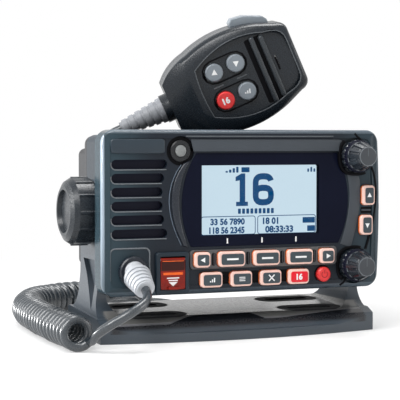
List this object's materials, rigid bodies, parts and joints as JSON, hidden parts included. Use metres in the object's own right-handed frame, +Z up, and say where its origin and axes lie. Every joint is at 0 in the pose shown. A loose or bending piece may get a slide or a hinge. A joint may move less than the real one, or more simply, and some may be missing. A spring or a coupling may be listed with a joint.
{
  "type": "marine radio",
  "caption": "Bracket-mounted marine VHF radio with tilting body, display, press keys, rotary knobs, covered emergency button and a corded fist microphone resting on top.",
  "frame": {"origin": "centre of the bracket's four slots, on the resting face", "axes": "+Z up out of the base, +X to the right seen from the front, +Y to the back; the front panel faces -Y"},
  "size_m": [0.1936, 0.1937, 0.1725],
  "materials": {
    "case_plastic": "fine matte texture",
    "bracket_plastic": "fine matte texture",
    "knob_plastic": "satin",
    "rubber": "matte",
    "chassis_metal": "black anodised",
    "steel": "satin",
    "nickel": "polished",
    "window": "clear",
    "display": "backlit blue",
    "board": "solder mask",
    "silicone": "matte",
    "key_dark": "satin",
    "key_red": "satin",
    "cover_red": "translucent",
    "mic_plastic": "fine matte texture",
    "mic_key_grey": "satin",
    "boot_grey": "satin",
    "cord_dark": "satin",
    "speaker_dark": "paper and metal"
  },
  "bodies": {
    "mount": {"bracket": "bracket_plastic", "arm_washers": "rubber", "cord_lead": "cord_dark", "cord_coil": "cord_dark", "cord_tail": "cord_dark"},
    "radio": {"front_panel": "case_plastic", "middle_housing": "case_plastic", "chassis_gasket": "rubber", "rear_chassis": "chassis_metal", "case_screws": "steel", "antenna_socket": "nickel", "cable_inlet": "rubber", "display_lens": "window", "lcd_module": "display", "main_board": "board", "key_sheet": "silicone", "speaker": "speaker_dark", "softkey_bar": "case_plastic", "volume_control": "steel", "squelch_control": "steel", "alarm_guard": "case_plastic", "alarm_pin": "steel", "blank_plug": "mic_key_grey", "cord_collar": "case_plastic", "cord_boot": "boot_grey", "cord_top": "cord_dark"},
    "left_clamp": {"gimbal_knob_left": "knob_plastic"},
    "right_clamp": {"gimbal_knob_right": "knob_plastic"},
    "volume": {"volume_knob": "knob_plastic", "volume_shaft": "steel"},
    "squelch": {"squelch_knob": "knob_plastic", "squelch_shaft": "steel"},
    "alarm_lid": {"alarm_cover": "cover_red"},
    "alarm_push": {"alarm_button": "key_red"},
    "microphone": {"mic_front_shell": "mic_plastic", "mic_rear_shell": "mic_plastic", "mic_board": "board", "mic_capsule": "steel", "mic_screws": "steel", "mic_hang_button": "nickel", "mic_boot": "boot_grey"},
    "talk": {"mic_talk_key": "mic_plastic"},
    "key_left_body": {"key_left": "key_dark"},
    "key_soft_1_body": {"key_soft_1": "key_dark"},
    "key_soft_2_body": {"key_soft_2": "key_dark"},
    "key_soft_3_body": {"key_soft_3": "key_dark"},
    "key_right_body": {"key_right": "key_dark"},
    "key_power_level_body": {"key_power_level": "key_dark"},
    "key_menu_body": {"key_menu": "key_dark"},
    "key_clear_body": {"key_clear": "key_dark"},
    "key_channel_body": {"key_channel": "key_red"},
    "key_up_body": {"key_up": "key_dark"},
    "key_down_body": {"key_down": "key_dark"},
    "key_on_off_body": {"key_on_off": "key_red"},
    "mic_key_up_body": {"mic_key_up": "mic_key_grey"},
    "mic_key_down_body": {"mic_key_down": "mic_key_grey"},
    "mic_key_channel_body": {"mic_key_channel": "key_red"},
    "mic_key_power_body": {"mic_key_power": "mic_key_grey"}
  },
  "joints": [
    {"name": "radio_tilt", "type": "hinge", "parent": "mount", "child": "radio", "pos_m": [0, 0, 0.066], "axis": [1, 0, 0], "range_deg": [-20, 8], "deforming": ["cord_lead", "cord_tail"]},
    {"name": "left_clamp_turn", "type": "hinge", "parent": "radio", "child": "left_clamp", "pos_m": [-0.078, 0, 0.066], "axis": [1, 0, 0], "continuous": true},
    {"name": "right_clamp_turn", "type": "hinge", "parent": "radio", "child": "right_clamp", "pos_m": [0.078, 0, 0.066], "axis": [1, 0, 0], "continuous": true},
    {"name": "volume_turn", "type": "hinge", "parent": "radio", "child": "volume", "pos_m": [0.064, -0.036, 0.094], "axis": [0, 1, 0], "range_deg": [-150, 150]},
    {"name": "squelch_turn", "type": "hinge", "parent": "radio", "child": "squelch", "pos_m": [0.0635, -0.036, 0.036], "axis": [0, 1, 0], "range_deg": [-150, 150]},
    {"name": "key_left_press", "type": "slide", "parent": "radio", "child": "key_left_body", "axis": [0, 1, 0], "range_m": [0, 0.001], "stiffness_N_per_m": 400, "springref_m": -0.0003},
    {"name": "key_soft_1_press", "type": "slide", "parent": "radio", "child": "key_soft_1_body", "axis": [0, 1, 0], "range_m": [0, 0.001], "stiffness_N_per_m": 400, "springref_m": -0.0003},
    {"name": "key_soft_2_press", "type": "slide", "parent": "radio", "child": "key_soft_2_body", "axis": [0, 1, 0], "range_m": [0, 0.001], "stiffness_N_per_m": 400, "springref_m": -0.0003},
    {"name": "key_soft_3_press", "type": "slide", "parent": "radio", "child": "key_soft_3_body", "axis": [0, 1, 0], "range_m": [0, 0.001], "stiffness_N_per_m": 400, "springref_m": -0.0003},
    {"name": "key_right_press", "type": "slide", "parent": "radio", "child": "key_right_body", "axis": [0, 1, 0], "range_m": [0, 0.001], "stiffness_N_per_m": 400, "springref_m": -0.0003},
    {"name": "key_power_level_press", "type": "slide", "parent": "radio", "child": "key_power_level_body", "axis": [0, 1, 0], "range_m": [0, 0.001], "stiffness_N_per_m": 400, "springref_m": -0.0003},
    {"name": "key_menu_press", "type": "slide", "parent": "radio", "child": "key_menu_body", "axis": [0, 1, 0], "range_m": [0, 0.001], "stiffness_N_per_m": 400, "springref_m": -0.0003},
    {"name": "key_clear_press", "type": "slide", "parent": "radio", "child": "key_clear_body", "axis": [0, 1, 0], "range_m": [0, 0.001], "stiffness_N_per_m": 400, "springref_m": -0.0003},
    {"name": "key_channel_press", "type": "slide", "parent": "radio", "child": "key_channel_body", "axis": [0, 1, 0], "range_m": [0, 0.001], "stiffness_N_per_m": 400, "springref_m": -0.0003},
    {"name": "key_up_press", "type": "slide", "parent": "radio", "child": "key_up_body", "axis": [0, 1, 0], "range_m": [0, 0.001], "stiffness_N_per_m": 400, "springref_m": -0.0003},
    {"name": "key_down_press", "type": "slide", "parent": "radio", "child": "key_down_body", "axis": [0, 1, 0], "range_m": [0, 0.001], "stiffness_N_per_m": 400, "springref_m": -0.0003},
    {"name": "key_on_off_press", "type": "slide", "parent": "radio", "child": "key_on_off_body", "axis": [0, 1, 0], "range_m": [0, 0.001], "stiffness_N_per_m": 400, "springref_m": -0.0003},
    {"name": "alarm_lid_lift", "type": "hinge", "parent": "radio", "child": "alarm_lid", "pos_m": [-0.04065, -0.0317, 0.04215], "axis": [-1, 0, 0], "range_deg": [0, 110], "stiffness_Nm_per_rad": 0.001, "springref_deg": -17.19},
    {"name": "alarm_press", "type": "slide", "parent": "radio", "child": "alarm_push", "axis": [0, 1, 0], "range_m": [0, 0.0015], "stiffness_N_per_m": 400, "springref_m": -0.0003},
    {"name": "microphone_lift", "type": "slide", "parent": "radio", "child": "microphone", "axis": [0, 0, 1], "range_m": [0, 0.12], "deforming": ["cord_top"]},
    {"name": "talk_press", "type": "slide", "parent": "microphone", "child": "talk", "axis": [0.4291, 0.0054, -0.9032], "range_m": [0, 0.0018], "stiffness_N_per_m": 600, "springref_m": -0.0005},
    {"name": "mic_key_up_press", "type": "slide", "parent": "microphone", "child": "mic_key_up_body", "axis": [0.2551, 0.9585, 0.1269], "range_m": [0, 0.001], "stiffness_N_per_m": 400, "springref_m": -0.0003},
    {"name": "mic_key_down_press", "type": "slide", "parent": "microphone", "child": "mic_key_down_body", "axis": [0.2551, 0.9585, 0.1269], "range_m": [0, 0.001], "stiffness_N_per_m": 400, "springref_m": -0.0003},
    {"name": "mic_key_channel_press", "type": "slide", "parent": "microphone", "child": "mic_key_channel_body", "axis": [0.2551, 0.9585, 0.1269], "range_m": [0, 0.001], "stiffness_N_per_m": 400, "springref_m": -0.0003},
    {"name": "mic_key_power_press", "type": "slide", "parent": "microphone", "child": "mic_key_power_body", "axis": [0.2551, 0.9585, 0.1269], "range_m": [0, 0.001], "stiffness_N_per_m": 400, "springref_m": -0.0003}
  ]
}
